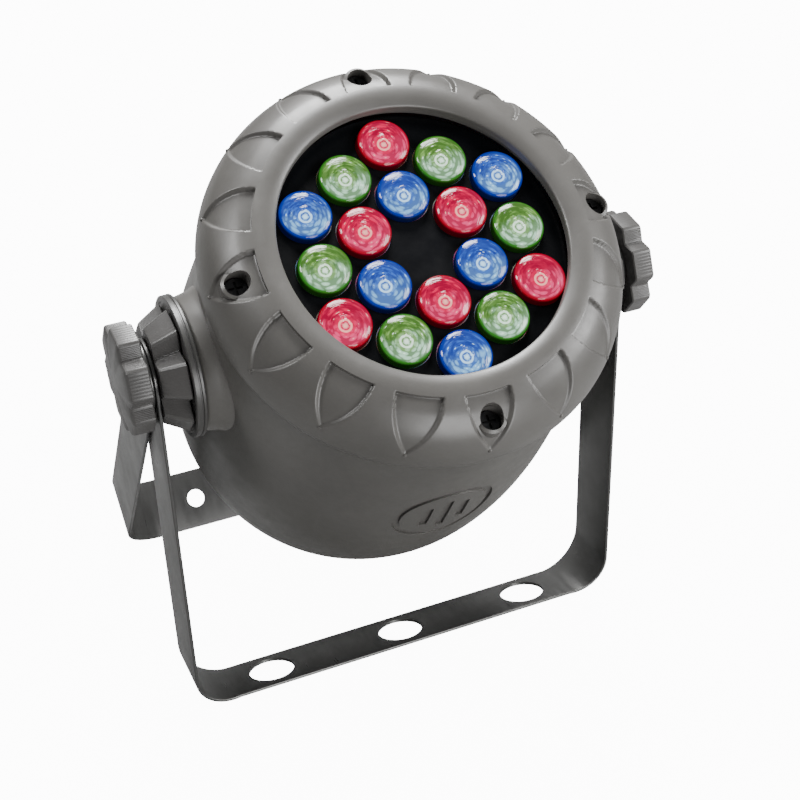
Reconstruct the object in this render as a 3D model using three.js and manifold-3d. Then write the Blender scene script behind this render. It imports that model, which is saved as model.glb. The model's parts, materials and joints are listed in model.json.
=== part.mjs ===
// A compact eighteen-lens LED par can on a double bracket. Millimetres, +Z up, light towards -Y.
// The head is built in its own frame: x to the right, y up across the face, z out along the beam.
import * as THREE from "three";
import { mergeVertices } from "three/addons/utils/BufferGeometryUtils.js";
import Module from "manifold-3d";

const wasm = await Module();
wasm.setup();

const rad = THREE.MathUtils.degToRad;
const GAP = 0.3;

// Lamp head
const HEAD_TILT = rad(63.4);
const LENS_PITCH = 23;
const LENS_RADIUS = 10.2;
const LENS_FOOT_Z = 47;
const LENS_TOP_Z = 67.4;
const LENS_HOLE_RADIUS = LENS_RADIUS + 0.35;
const PLATE_RADIUS = 58;
const PLATE_Z = [60, 62];
const LED_BOARD_RADIUS = 56;
const LED_BOARD_Z = [42.9, 44.5];
const EMITTER = { radius: 3, top: LENS_FOOT_Z - GAP };
const SINK = { radius: 58, base: [36.6, 42.6], finEnd: 6, fins: 11, pitch: 10, finWidth: 2.4 };
const SEAM_Z = 45.7;
const SHELL_WALL = 3;
const SHELL_BACK_Z = -112;
const SHELL_OPENING = 44.5;

// Screws that hold the bezel, on one circle
const BEZEL_SCREW = { circle: 73.6, recess: 5, head: 4.2, shank: 2, headZ: [58.3, 61.5], tip: 38 };

// Rear panel and what is fitted to it
const PANEL = { radius: 54, z: [SHELL_BACK_Z - 2.3, SHELL_BACK_Z - 0.3] };
const PANEL_SCREW = { circle: 49, head: 3, shank: 1.5, tip: SHELL_BACK_Z + 6, bossTop: SHELL_BACK_Z + 9 };
const POWER = { y: -30, flange: [48, 28, 2.5], body: [27.5, 19.5], depth: SHELL_BACK_Z + 20 };
const DMX = { x: 24, y: 22, flange: [24, 28, 2], body: 11, depth: SHELL_BACK_Z + 20 };
const LATCH = { size: [7, 4.5, 4], lift: 11 };
const DISPLAY = { y: 1.5, size: [24, 9] };
const BUTTON = { y: -9, pitch: 9, radius: 2.5, proud: 1.7 };
const CONTROL_BOARD = { y: -4, size: [44, 20], z: [SHELL_BACK_Z + 6.4, SHELL_BACK_Z + 8] };
const DRIVER_BOARD = { size: [96, 70], z: [-34, -32.4] };

// Pivot stack, as distances out from the centre plane
const BOSS = { radius: 27, root: 66, face: 86.7 };
const DISC = { radius: 29, x: [87, 91] };
const HUB = { tip: 26, valley: 20, lobes: 6, taper: 0.8, x: [91.3, 101.5], phase: rad(153) };
const FRONT_ARM_FACE = 103.3;
const REAR_ARM_FACE = 105.1;
const WASHER = { radius: 9, x: [105.4, 106.4] };
const KNOB = { tip: 22.6, valley: 18.8, x: [105.5, 116], lobes: 6, phase: rad(148) };
const BOLT = { radius: 4, clearance: 4.4, inner: 68 };
const NUT = { across: 13, x: [67, 73.5] };

// Brackets: flat strip bent into a U, with the bar turned a little against the arms
const STRIP = { width: 29, thickness: 1.5, bend: 19 };
const FRONT_BRACKET = { length: 171, lean: rad(-10.6), twist: rad(15), holes: [10.5, 10.5, 10.5] };
const REAR_BRACKET = { lean: rad(26.8), twist: rad(-16), holes: [4.5, 5.5, 4.5] };
const BAR_HOLE_X = 64.5;

const MATERIALS = {
  housing: { color: 0x6f6e6b, roughness: 0.45, metalness: 0.0 },
  bracket: { color: 0x6a6a69, roughness: 0.4, metalness: 0.8 },
  knob: { color: 0x7d7c7a, roughness: 0.55, metalness: 0.0 },
  disc: { color: 0x5d5c5a, roughness: 0.5, metalness: 0.0 },
  plate: { color: 0x0b0d10, roughness: 0.5, metalness: 0.0 },
  lensRed: { color: 0xd8203a, roughness: 0.1, metalness: 0.0 },
  lensGreen: { color: 0x6fd07a, roughness: 0.1, metalness: 0.0 },
  lensBlue: { color: 0x3f78d8, roughness: 0.1, metalness: 0.0 },
  aluminium: { color: 0xa9abad, roughness: 0.45, metalness: 1.0 },
  board: { color: 0x1f5a38, roughness: 0.6, metalness: 0.0 },
  ledBoard: { color: 0xe8e8e4, roughness: 0.5, metalness: 0.0 },
  socket: { color: 0x18191a, roughness: 0.5, metalness: 0.0 },
  screw: { color: 0x2b2b2c, roughness: 0.4, metalness: 0.9 },
  steel: { color: 0xb4b6b8, roughness: 0.35, metalness: 1.0 },
  display: { color: 0x2a1214, roughness: 0.15, metalness: 0.0 },
  button: { color: 0x202122, roughness: 0.6, metalness: 0.0 },
};

// ---------------------------------------------------------------- solids and booleans

// A closed manifold from any three.js geometry, turned the right way out.
function solid(geometry) {
  const bare = geometry.index ? geometry.toNonIndexed() : geometry.clone();
  bare.deleteAttribute("normal");
  bare.deleteAttribute("uv");
  const merged = mergeVertices(bare, 1e-4);
  const positions = merged.attributes.position.array;
  const corners = [];
  const index = merged.index.array;
  let volume = 0;
  const a = new THREE.Vector3();
  const b = new THREE.Vector3();
  const c = new THREE.Vector3();
  for (let i = 0; i < index.length; i += 3) {
    const [i0, i1, i2] = [index[i], index[i + 1], index[i + 2]];
    if (i0 === i1 || i1 === i2 || i2 === i0) continue;
    a.fromArray(positions, 3 * i0);
    b.fromArray(positions, 3 * i1);
    c.fromArray(positions, 3 * i2);
    volume += a.dot(b.cross(c));
    corners.push(i0, i1, i2);
  }
  if (volume < 0) corners.reverse();
  const mesh = new wasm.Mesh({
    numProp: 3,
    vertProperties: new Float32Array(positions),
    triVerts: new Uint32Array(corners),
  });
  return new wasm.Manifold(mesh);
}

function toGeometry(manifold) {
  const mesh = manifold.getMesh();
  const geometry = new THREE.BufferGeometry();
  geometry.setAttribute("position", new THREE.BufferAttribute(mesh.vertProperties, 3));
  geometry.setIndex(new THREE.BufferAttribute(mesh.triVerts, 1));
  geometry.computeVertexNormals();
  return geometry;
}

function union(first, ...others) {
  return others.reduce((sum, next) => sum.add(next), first);
}

function cut(first, ...others) {
  return others.reduce((sum, next) => sum.subtract(next), first);
}

// Turned about z: profile points are [radius, z].
function lathe(profile, segments) {
  const points = profile.map(([radius, z]) => new THREE.Vector2(radius, z));
  return solid(new THREE.LatheGeometry(points, segments).rotateX(Math.PI / 2));
}

function ring(profile, segments) {
  return lathe([...profile, profile[0]], segments);
}

// A round bar along z from z0 to z1.
function roundZ(radius, z0, z1, x = 0, y = 0, segments = 20) {
  const geometry = new THREE.CylinderGeometry(radius, radius, z1 - z0, segments);
  return solid(geometry.rotateX(Math.PI / 2).translate(x, y, (z0 + z1) / 2));
}

// A round bar along x from x0 to x1.
function roundX(radius, x0, x1, segments = 28) {
  const geometry = new THREE.CylinderGeometry(radius, radius, x1 - x0, segments);
  return solid(geometry.rotateZ(Math.PI / 2).translate((x0 + x1) / 2, 0, 0));
}

function block(width, height, z0, z1, x = 0, y = 0) {
  const geometry = new THREE.BoxGeometry(width, height, z1 - z0);
  return solid(geometry.translate(x, y, (z0 + z1) / 2));
}

// An outline extruded along x from x0 to x1; outline points are [y, z].
function prismX(outline, x0, x1) {
  const shape = new THREE.Shape(outline.map(([y, z]) => new THREE.Vector2(y, z)));
  const geometry = new THREE.ExtrudeGeometry(shape, { depth: x1 - x0, bevelEnabled: false, steps: 1 });
  return solid(geometry.rotateX(Math.PI / 2).rotateZ(Math.PI / 2).translate(x0, 0, 0));
}

function polar(radius, angle) {
  return [radius * Math.sin(angle), radius * Math.cos(angle)];
}

function addPart(parent, name, manifold, materialName) {
  const material = new THREE.MeshStandardMaterial(MATERIALS[materialName]);
  const mesh = new THREE.Mesh(toGeometry(manifold), material);
  mesh.name = name;
  parent.add(mesh);
  return mesh;
}

// The same solid on both sides: built for the right and mirrored for the left.
function addPair(parent, name, makeSolid, materialName) {
  addPart(parent, `right_${name}`, makeSolid(), materialName);
  addPart(parent, `left_${name}`, makeSolid().mirror([1, 0, 0]), materialName);
}

// ---------------------------------------------------------------- lamp head

const BEZEL_OUTSIDE = [
  [83.3, SEAM_Z], [84, 49], [82.6, 56], [79, 63], [72.5, 68.8],
  [66, 71.5], [61, 72], [56.9, 70.6], [56.5, 68.8],
];
const BEZEL_INSIDE = [
  [56.5, 67], [58.6, 65.4], [58.6, 62.8], [61.5, 62.8], [62, 67.4],
  [70, 65.4], [76.4, 59], [80, 51], [80, SEAM_Z],
];

function bezel() {
  const skin = ring([...BEZEL_OUTSIDE, ...BEZEL_INSIDE], 48);
  const filled = ring([...BEZEL_OUTSIDE, [56.5, SEAM_Z]], 48);
  let result = skin;
  for (let i = 0; i < 4; i += 1) {
    const [x, y] = polar(BEZEL_SCREW.circle, (i * Math.PI) / 2);
    const boss = roundZ(BEZEL_SCREW.recess + 1.8, 55, 75, x, y).intersect(filled);
    const recess = roundZ(BEZEL_SCREW.recess, BEZEL_SCREW.headZ[0] - GAP, 80, x, y);
    const hole = roundZ(BEZEL_SCREW.shank + GAP, 50, 60, x, y, 8);
    result = cut(union(result, boss), recess, hole);
  }
  return result;
}

const SHELL_OUTSIDE = [
  [80, SEAM_Z - GAP], [80.5, 25], [82.5, 0], [84.5, -30], [84, -55],
  [81, -78], [75, -97], [65.5, -108], [54, SHELL_BACK_Z],
];

function shell() {
  const inside = SHELL_OUTSIDE.slice(0, -1).reverse().map(([radius, z]) => [radius - SHELL_WALL, z]);
  const back = SHELL_BACK_Z + SHELL_WALL;
  inside[0][1] += 1.5;
  const rim = [[SHELL_OPENING, SHELL_BACK_Z], [SHELL_OPENING, back]];
  let result = ring([...SHELL_OUTSIDE, ...rim, ...inside], 40);
  for (let i = 0; i < 4; i += 1) {
    const angle = (i * Math.PI) / 2;
    const [x, y] = polar(BEZEL_SCREW.circle, angle);
    const hole = roundZ(BEZEL_SCREW.shank + GAP, BEZEL_SCREW.tip - 2, 50, x, y, 8);
    result = cut(union(result, roundZ(4.6, 24, SEAM_Z - 2, x, y, 12)), hole);
    const [px, py] = polar(PANEL_SCREW.circle, angle);
    const pilot = roundZ(PANEL_SCREW.shank + GAP, SHELL_BACK_Z - 5, PANEL_SCREW.tip + 1.5, px, py, 8);
    result = cut(union(result, roundZ(3.6, SHELL_BACK_Z, PANEL_SCREW.bossTop, px, py, 12)), pilot);
  }
  const nutPocket = solid(nutGeometry(NUT.across + 1, BOSS.root - 8, NUT.x[1] + GAP));
  for (const side of [0, Math.PI]) {
    const turn = [0, 0, THREE.MathUtils.radToDeg(side)];
    const boss = cut(roundX(BOSS.radius, BOSS.root, BOSS.face, 28), nutPocket);
    const bore = roundX(BOLT.clearance, BOSS.root - 10, BOSS.face + 5, 16);
    const waist = roundX(BOSS.radius - 6, BOSS.root - 10, BOSS.root + 1, 24);
    result = cut(result, bore.rotate(turn));
    const groove = waist.subtract(roundX(11, BOSS.root - 12, BOSS.root + 4));
    result = union(result, cut(boss, bore, groove).rotate(turn));
  }
  return result;
}

function lens() {
  const z = LENS_FOOT_Z;
  return lathe([
    [0, z], [4.5, z], [9, z + 10], [LENS_RADIUS, z + 13.5], [LENS_RADIUS, z + 16],
    [8, z + 18.6], [4.4, z + 19.7], [0, LENS_TOP_Z],
  ], 12);
}

// Lens centres: an inner ring of six and an outer ring of twelve on one triangular grid.
const LENS_RINGS = [
  { name: "inner", count: 6, radii: [LENS_PITCH], colours: ["Blue", "Red"] },
  {
    name: "outer",
    count: 12,
    radii: [2 * LENS_PITCH, Math.sqrt(3) * LENS_PITCH],
    colours: ["Red", "Green", "Blue", "Green"],
  },
];

function lensPlaces() {
  const places = [];
  for (const { name, count, radii, colours } of LENS_RINGS) {
    for (let i = 0; i < count; i += 1) {
      const [x, y] = polar(radii[i % radii.length], (2 * Math.PI * i) / count);
      places.push({ name: `lens_${name}_${i + 1}`, x, y, colour: colours[i % colours.length] });
    }
  }
  return places;
}

function lensPlate() {
  const span = [PLATE_Z[0] - 1, PLATE_Z[1] + 1];
  const holes = lensPlaces().map(({ x, y }) => roundZ(LENS_HOLE_RADIUS, ...span, x, y, 14));
  return cut(roundZ(PLATE_RADIUS, ...PLATE_Z, 0, 0, 40), ...holes);
}

function ledBoard() {
  const span = [LED_BOARD_Z[0] + 1, EMITTER.top];
  const emitters = lensPlaces().map(({ x, y }) => roundZ(EMITTER.radius, ...span, x, y, 6));
  return union(roundZ(LED_BOARD_RADIUS, ...LED_BOARD_Z, 0, 0, 36), ...emitters);
}

function heatSink() {
  let result = roundZ(SINK.radius, ...SINK.base, 0, 0, 36);
  const limit = roundZ(SINK.radius, SINK.finEnd, SINK.base[1], 0, 0, 36);
  for (let i = 0; i < SINK.fins; i += 1) {
    const x = (i - (SINK.fins - 1) / 2) * SINK.pitch;
    const fin = block(SINK.finWidth, 2 * SINK.radius, SINK.finEnd, SINK.base[0] + 1, x);
    result = union(result, fin.intersect(limit));
  }
  return result;
}

function driverBoard() {
  const [z0, z1] = DRIVER_BOARD.z;
  const transformer = block(34, 28, z1 - 0.5, z1 + 24, -24, 12);
  const capacitors = [-14, 2, 18].map((x) => roundZ(6, z1 - 0.5, z1 + 20, x + 16, -20, 14));
  const chokes = block(14, 12, z1 - 0.5, z1 + 14, -30, -20);
  return union(block(...DRIVER_BOARD.size, z0, z1), transformer, chokes, ...capacitors);
}

function controlBoard() {
  return block(...CONTROL_BOARD.size, ...CONTROL_BOARD.z, 0, CONTROL_BOARD.y);
}

// A pan-head screw along z with its tip at the far end and a cross slot in the head.
function screw(headRadius, shankRadius, headZ, tip, outward) {
  const [z0, z1] = headZ;
  const head = roundZ(headRadius, z0, z1, 0, 0, 16);
  const shank = roundZ(shankRadius, Math.min(tip, z0 + 0.5), Math.max(tip, z1 - 0.5), 0, 0, 10);
  const top = outward > 0 ? z1 : z0;
  const slotZ = [top - 1, top + 1];
  const slots = union(block(1, headRadius * 1.3, ...slotZ), block(headRadius * 1.3, 1, ...slotZ));
  return cut(union(head, shank), slots);
}

// ---------------------------------------------------------------- rear panel

function rearPanel() {
  const [z0, z1] = PANEL.z;
  const through = [z0 - 1, z1 + 1];
  const openings = [
    block(POWER.body[0] + 2 * GAP, POWER.body[1] + 2 * GAP, ...through, 0, POWER.y),
    block(DISPLAY.size[0] + 2 * GAP, DISPLAY.size[1] + 2 * GAP, ...through, 0, DISPLAY.y),
    roundZ(DMX.body + GAP, ...through, DMX.x, DMX.y),
    roundZ(DMX.body + GAP, ...through, -DMX.x, DMX.y),
  ];
  for (let i = 0; i < 4; i += 1) {
    const [x, y] = polar(PANEL_SCREW.circle, (i * Math.PI) / 2);
    openings.push(roundZ(PANEL_SCREW.shank + GAP, ...through, x, y, 12));
    openings.push(roundZ(BUTTON.radius + GAP, ...through, (i - 1.5) * BUTTON.pitch, BUTTON.y, 16));
  }
  return cut(roundZ(PANEL.radius, z0, z1, 0, 0, 40), ...openings);
}

function powerInlet() {
  const face = PANEL.z[0] - GAP;
  const back = face - POWER.flange[2];
  const flange = block(POWER.flange[0], POWER.flange[1], back, face, 0, POWER.y);
  const body = block(...POWER.body, back + 1, POWER.depth, 0, POWER.y);
  const socket = block(POWER.body[0] - 4, POWER.body[1] - 4, back - 1, back + 16, 0, POWER.y);
  const pins = [-7, 0, 7].map((x) => block(2, 4, back + 3, back + 17, x, POWER.y - (x === 0 ? 3 : -2)));
  return union(cut(union(flange, body), socket), ...pins);
}

function dmxSocket(female) {
  const face = PANEL.z[0] - GAP;
  const back = face - DMX.flange[2];
  const flange = block(DMX.flange[0], DMX.flange[1], back, face);
  const body = roundZ(DMX.body, back + 1, DMX.depth);
  const contacts = [0, 1, 2].map((i) => {
    const [x, y] = polar(4, (i * 2 * Math.PI) / 3);
    return { x, y };
  });
  if (!female) {
    const mouth = roundZ(8.6, back - 1, back + 14);
    const pins = contacts.map(({ x, y }) => roundZ(1.2, back + 2, back + 15, x, y, 8));
    return union(cut(union(flange, body), mouth), ...pins);
  }
  const annulus = cut(roundZ(8.8, back - 1, back + 12), roundZ(7, back - 2, back + 13));
  const latchSlot = block(LATCH.size[0] + 2 * GAP, LATCH.size[1] + 2.2, back - 1, face + 1, 0, LATCH.lift);
  const bores = contacts.map(({ x, y }) => roundZ(1.3, back - 1, back + 10, x, y, 8));
  return cut(union(flange, body), annulus, latchSlot, ...bores);
}

function dmxLatch() {
  const back = PANEL.z[0] - GAP - DMX.flange[2];
  return block(LATCH.size[0], LATCH.size[1], back - 1.5, back + DMX.flange[2] - 2 * GAP);
}

function displayWindow() {
  return block(...DISPLAY.size, PANEL.z[0] - 0.4, CONTROL_BOARD.z[0] - GAP, 0, DISPLAY.y);
}

function button() {
  return roundZ(BUTTON.radius, PANEL.z[0] - BUTTON.proud, CONTROL_BOARD.z[0] - 1.3, 0, 0, 16);
}

function addRearFittings(head) {
  addPart(head, "rear_panel", rearPanel(), "aluminium");
  addPart(head, "power_inlet", powerInlet(), "socket");
  addPart(head, "dmx_in_socket", dmxSocket(false), "socket").position.set(-DMX.x, DMX.y, 0);
  addPart(head, "dmx_out_socket", dmxSocket(true), "socket").position.set(DMX.x, DMX.y, 0);
  addPart(head, "dmx_latch", dmxLatch(), "steel").position.set(DMX.x, DMX.y + LATCH.lift, 0);
  addPart(head, "display_window", displayWindow(), "display");
  addPart(head, "control_board", controlBoard(), "board");
  ["menu", "down", "up", "enter"].forEach((name, i) => {
    const mesh = addPart(head, `${name}_button`, button(), "button");
    mesh.position.set((1.5 - i) * BUTTON.pitch, BUTTON.y, 0);
  });
  for (let i = 0; i < 4; i += 1) {
    const [x, y] = polar(PANEL_SCREW.circle, (i * Math.PI) / 2);
    const headZ = [PANEL.z[0] - GAP - 2, PANEL.z[0] - GAP];
    const body = screw(PANEL_SCREW.head, PANEL_SCREW.shank, headZ, PANEL_SCREW.tip, -1);
    addPart(head, `panel_screw_${i + 1}`, body, "screw").position.set(x, y, 0);
  }
}

function makeHead() {
  const head = new THREE.Group();
  addPart(head, "rear_shell", shell(), "housing");
  addPart(head, "front_bezel", bezel(), "housing");
  addPart(head, "lens_plate", lensPlate(), "plate");
  addPart(head, "led_board", ledBoard(), "ledBoard");
  addPart(head, "heat_sink", heatSink(), "aluminium");
  addPart(head, "driver_board", driverBoard(), "board");
  for (const { name, x, y, colour } of lensPlaces()) {
    addPart(head, name, lens(), `lens${colour}`).position.set(x, y, 0);
  }
  for (let i = 0; i < 4; i += 1) {
    const [x, y] = polar(BEZEL_SCREW.circle, (i * Math.PI) / 2);
    const body = screw(BEZEL_SCREW.head, BEZEL_SCREW.shank, BEZEL_SCREW.headZ, BEZEL_SCREW.tip, 1);
    addPart(head, `bezel_screw_${i + 1}`, body, "screw").position.set(x, y, 0);
  }
  addPair(head, "captive_nut", nut, "steel");
  addRearFittings(head);
  head.rotation.x = Math.PI / 2 - HEAD_TILT;
  return head;
}

// ---------------------------------------------------------------- pivot stacks

// One lobe's corners: [share of the half pitch from its middle, share of the depth down to the groove].
const LOBE_CORNERS = [[-0.96, 1], [-0.56, 0.06], [-0.46, 0], [0.46, 0], [0.56, 0.06], [0.96, 1]];

// The outline of a lobed body, points as [y, z]; the first lobe points along the phase angle.
function lobedOutline({ tip, valley, lobes, phase }) {
  const points = [];
  const halfPitch = Math.PI / lobes;
  for (let i = 0; i < lobes; i += 1) {
    for (const [across, down] of LOBE_CORNERS) {
      const angle = phase + (2 * i + across) * halfPitch;
      const radius = tip - (tip - valley) * down;
      points.push([radius * Math.cos(angle), radius * Math.sin(angle)]);
    }
  }
  return points;
}

function nutGeometry(across, x0, x1) {
  const geometry = new THREE.CylinderGeometry(across / Math.sqrt(3), across / Math.sqrt(3), x1 - x0, 6);
  return geometry.rotateZ(Math.PI / 2).translate((x0 + x1) / 2, 0, 0);
}

function knob() {
  const body = prismX(lobedOutline(KNOB), ...KNOB.x);
  const seat = roundX(WASHER.radius + 0.6, KNOB.x[0] - 1, WASHER.x[1] + GAP);
  return cut(body, seat, roundX(BOLT.radius + GAP, KNOB.x[0] - 1, KNOB.x[1] - 2.5 + GAP, 20));
}

function hub() {
  const [x0, x1] = HUB.x;
  const body = prismX(lobedOutline(HUB), 0, x1 - x0).warp((point) => {
    const shrink = 1 - ((1 - HUB.taper) * point[0]) / (x1 - x0);
    point[1] *= shrink;
    point[2] *= shrink;
    point[0] += x0;
  });
  return cut(body, roundX(BOLT.clearance, HUB.x[0] - 1, HUB.x[1] + 1, 20));
}

function pivotDisc() {
  return cut(roundX(DISC.radius, ...DISC.x, 40), roundX(BOLT.clearance, DISC.x[0] - 1, DISC.x[1] + 1, 20));
}

function washer() {
  const bore = roundX(BOLT.clearance, WASHER.x[0] - 1, WASHER.x[1] + 1, 20);
  return cut(roundX(WASHER.radius, ...WASHER.x, 24), bore);
}

function bolt() {
  return roundX(BOLT.radius, BOLT.inner, KNOB.x[1] - 2.5, 20);
}

function nut() {
  const bore = roundX(BOLT.clearance, NUT.x[0] - 1, NUT.x[1] + 1, 20);
  return cut(solid(nutGeometry(NUT.across, ...NUT.x)), bore);
}

// ---------------------------------------------------------------- brackets

// Stations down one arm, round the bend, along the bar and up again: [x, z, turn of the path, twist share].
function strapStations(halfWidth, length) {
  const { bend } = STRIP;
  const steps = 6;
  const left = [[-halfWidth, 0, 0, 0]];
  for (let i = 0; i <= steps; i += 1) {
    const share = i / steps;
    const angle = (share * Math.PI) / 2;
    const x = -halfWidth + bend * (1 - Math.cos(angle));
    const z = -length + bend * (1 - Math.sin(angle));
    left.push([x, z, angle, share]);
  }
  const right = left.map(([x, z, angle, share]) => [-x, z, Math.PI - angle, share]).reverse();
  return [...left, ...right];
}

function strap(halfWidth, length, twist) {
  const rings = strapStations(halfWidth, length).map(([x, z, angle, share]) => {
    const centre = new THREE.Vector3(x, 0, z);
    const along = new THREE.Vector3(Math.sin(angle), 0, -Math.cos(angle));
    const across = new THREE.Vector3(0, -Math.cos(twist * share), Math.sin(twist * share));
    across.addScaledVector(along, -across.dot(along)).normalize();
    const through = new THREE.Vector3().crossVectors(along, across);
    return [[1, 1], [-1, 1], [-1, -1], [1, -1]].map(([s, t]) => centre.clone()
      .addScaledVector(across, (s * STRIP.width) / 2)
      .addScaledVector(through, (t * STRIP.thickness) / 2));
  });
  const positions = rings.flat().flatMap((point) => point.toArray());
  const faces = [0, 1, 2, 0, 2, 3];
  const end = 4 * (rings.length - 1);
  faces.push(end, end + 2, end + 1, end, end + 3, end + 2);
  for (let i = 0; i < rings.length - 1; i += 1) {
    for (let j = 0; j < 4; j += 1) {
      const a = 4 * i + j;
      const b = 4 * i + ((j + 1) % 4);
      faces.push(a, a + 4, b, b, a + 4, b + 4);
    }
  }
  const geometry = new THREE.BufferGeometry();
  geometry.setAttribute("position", new THREE.Float32BufferAttribute(positions, 3));
  geometry.setIndex(faces);
  return solid(geometry);
}

function bracket(armFace, { length, twist, holes }) {
  const halfWidth = armFace - STRIP.thickness / 2;
  let result = strap(halfWidth, length, twist);
  for (const inner of [armFace - STRIP.thickness, -armFace]) {
    const eye = roundX(STRIP.width / 2, inner, inner + STRIP.thickness, 24);
    const bore = roundX(BOLT.clearance, inner - 1, inner + STRIP.thickness + 1, 20);
    result = cut(union(result, eye), bore);
  }
  holes.forEach((radius, i) => {
    const drill = roundZ(radius, -8, 8, 0, 0, 20).rotate([-THREE.MathUtils.radToDeg(twist), 0, 0]);
    result = cut(result, drill.translate([(i - 1) * BAR_HOLE_X, 0, -length]));
  });
  return result;
}

// How far below the pivot the bar's lower edge comes.
function drop({ length, lean, twist }) {
  const slope = Math.abs(lean) + Math.abs(twist);
  const edge = (STRIP.width / 2) * Math.sin(slope) + (STRIP.thickness / 2) * Math.cos(slope);
  return length * Math.cos(lean) + edge;
}

// The rear bracket is as long as it must be to stand on the same floor as the front one.
function rearLength() {
  const edgeOnly = drop({ ...REAR_BRACKET, length: 0 });
  return (drop(FRONT_BRACKET) - edgeOnly) / Math.cos(REAR_BRACKET.lean);
}

function makeLamp() {
  const lamp = new THREE.Group();
  lamp.add(makeHead());
  const front = addPart(lamp, "front_bracket", bracket(FRONT_ARM_FACE, FRONT_BRACKET), "bracket");
  front.rotation.x = FRONT_BRACKET.lean;
  const rearShape = { ...REAR_BRACKET, length: rearLength() };
  const rear = addPart(lamp, "rear_bracket", bracket(REAR_ARM_FACE, rearShape), "bracket");
  rear.rotation.x = REAR_BRACKET.lean;
  addPair(lamp, "pivot_disc", pivotDisc, "disc");
  addPair(lamp, "spacer_hub", hub, "knob");
  addPair(lamp, "clamp_knob", knob, "knob");
  addPair(lamp, "clamp_bolt", bolt, "steel");
  addPair(lamp, "clamp_washer", washer, "steel");
  return lamp;
}

// The lamp stands on z = 0 with the middle of its outline over the origin.
const lamp = makeLamp();
lamp.updateMatrixWorld(true);
const box = new THREE.Box3().setFromObject(lamp, true);
lamp.position.set(-(box.min.x + box.max.x) / 2, -(box.min.y + box.max.y) / 2, -box.min.z);
const group = new THREE.Group();
group.add(lamp);

export default group;
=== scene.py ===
"""A compact LED par can on its double bracket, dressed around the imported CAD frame."""
import json
import math

import bmesh
import bpy
import numpy as np
from mathutils import Matrix, Vector


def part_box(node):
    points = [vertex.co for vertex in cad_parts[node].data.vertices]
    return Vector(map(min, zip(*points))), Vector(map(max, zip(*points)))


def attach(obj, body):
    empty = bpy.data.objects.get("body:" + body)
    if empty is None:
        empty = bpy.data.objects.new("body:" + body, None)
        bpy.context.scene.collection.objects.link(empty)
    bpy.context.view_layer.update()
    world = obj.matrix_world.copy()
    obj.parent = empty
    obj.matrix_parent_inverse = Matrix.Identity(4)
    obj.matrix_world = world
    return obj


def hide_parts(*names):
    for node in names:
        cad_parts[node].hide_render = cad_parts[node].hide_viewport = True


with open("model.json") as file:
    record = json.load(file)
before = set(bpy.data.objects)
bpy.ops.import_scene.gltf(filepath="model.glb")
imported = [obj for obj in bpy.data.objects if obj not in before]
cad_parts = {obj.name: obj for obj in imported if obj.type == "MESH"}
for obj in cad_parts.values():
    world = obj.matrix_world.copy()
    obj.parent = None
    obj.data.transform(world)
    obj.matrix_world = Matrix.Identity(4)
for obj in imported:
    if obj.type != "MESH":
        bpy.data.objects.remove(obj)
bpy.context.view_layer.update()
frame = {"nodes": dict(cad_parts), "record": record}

MM = 0.001
RECORD = frame["record"]
BODY_OF = {node: body for body, nodes in RECORD["behaviour"]["bodies"].items() for node in nodes}
SLOT_OF = {entry["node"]: entry["material_slot"] for entry in RECORD["subparts"]}
JOINTS = {joint["name"]: joint for joint in RECORD["behaviour"]["joints"]}


def node_centre(node):
    low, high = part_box(node)
    return (low + high) / 2


# The head's frame: x to the right, y up across its face, z out along the beam, origin on the tilt axis.
PIVOT = Vector(JOINTS["head_tilt"]["pos_m"])
BEAM = Vector(JOINTS["menu_press"]["axis"])
HEAD_UP = BEAM.cross(Vector((1, 0, 0)))
HEAD = Matrix.Translation(PIVOT) @ Matrix((Vector((1, 0, 0)), HEAD_UP, BEAM)).transposed().to_4x4()

# Driving sizes in millimetres, within 0.3 mm of the solids'
BEZEL_OUTSIDE = [
    (83.3, 45.7), (84, 49), (82.6, 56), (79, 63), (72.5, 68.8),
    (66, 71.5), (61, 72), (56.9, 70.6), (56.5, 68.8),
]
BEZEL_INSIDE = [
    (56.5, 67), (58.6, 65.4), (58.6, 62.8), (61.5, 62.8), (62, 67.4),
    (70, 65.4), (76.4, 59), (80, 51), (80, 45.7),
]
SHELL_OUTSIDE = [
    (80, 45.4), (80.5, 25), (82.5, 0), (84.5, -30), (84, -55),
    (81, -78), (75, -97), (65.5, -108), (54, -112),
]
SHELL_WALL = 3
SHELL_OPENING = 44.5
SCREWS = 4
SCREW_CIRCLE = 73.6
SCREW_RECESS = 4.7
SCREW_SEAT = 58
LENS_RADIUS = 10.4
LENS_HOLE = 10.75
LENS_FOOT = 47
LENS_RIM = 64.2
LENS_TOP = 67.2
PLATE_Z = (60, 62)
PLATE_RADIUS = 58
LOBES = 6
LOBE_CORNERS = [
    (-1, 1), (-0.94, 0.93), (-0.57, 0.1), (-0.46, 0),
    (0.46, 0), (0.57, 0.1), (0.94, 0.93), (1, 1),
]
KNOB = {"tip": 22.6, "valley": 18.6, "phase": 148}
HUB = {"tip": 26, "valley": 20, "phase": 153, "taper": 0.8}
STRIP_WIDTH = 29
STRIP_THICKNESS = 1.5
STRIP_BEND = 19
BAR_HOLE_X = 64.5
FRONT = {"length": 171, "lean": math.radians(-10.6), "twist": math.radians(15), "holes": (10.5, 10.5, 10.5)}
REAR = {"lean": math.radians(26.8), "twist": math.radians(-16), "holes": (4.5, 5.5, 4.5)}

# The sunk treads round the bezel, and the ring sunk in the bowl: only here, not in the solids
EMBLEM = {"turn": 181, "z": -15, "radius": 22, "width": 3, "depth": 0.9}
POCKETS = 16
POCKET_HALF = 8.0
POCKET_TIP = 1.0
POCKET_BULGE = 1.8
POCKET_DEPTH = 1.9
POCKET_EDGE = 0.75
POCKET_INNER = (65.5, 71.6)
POCKET_OUTER = (82.6, 55.5)

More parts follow.
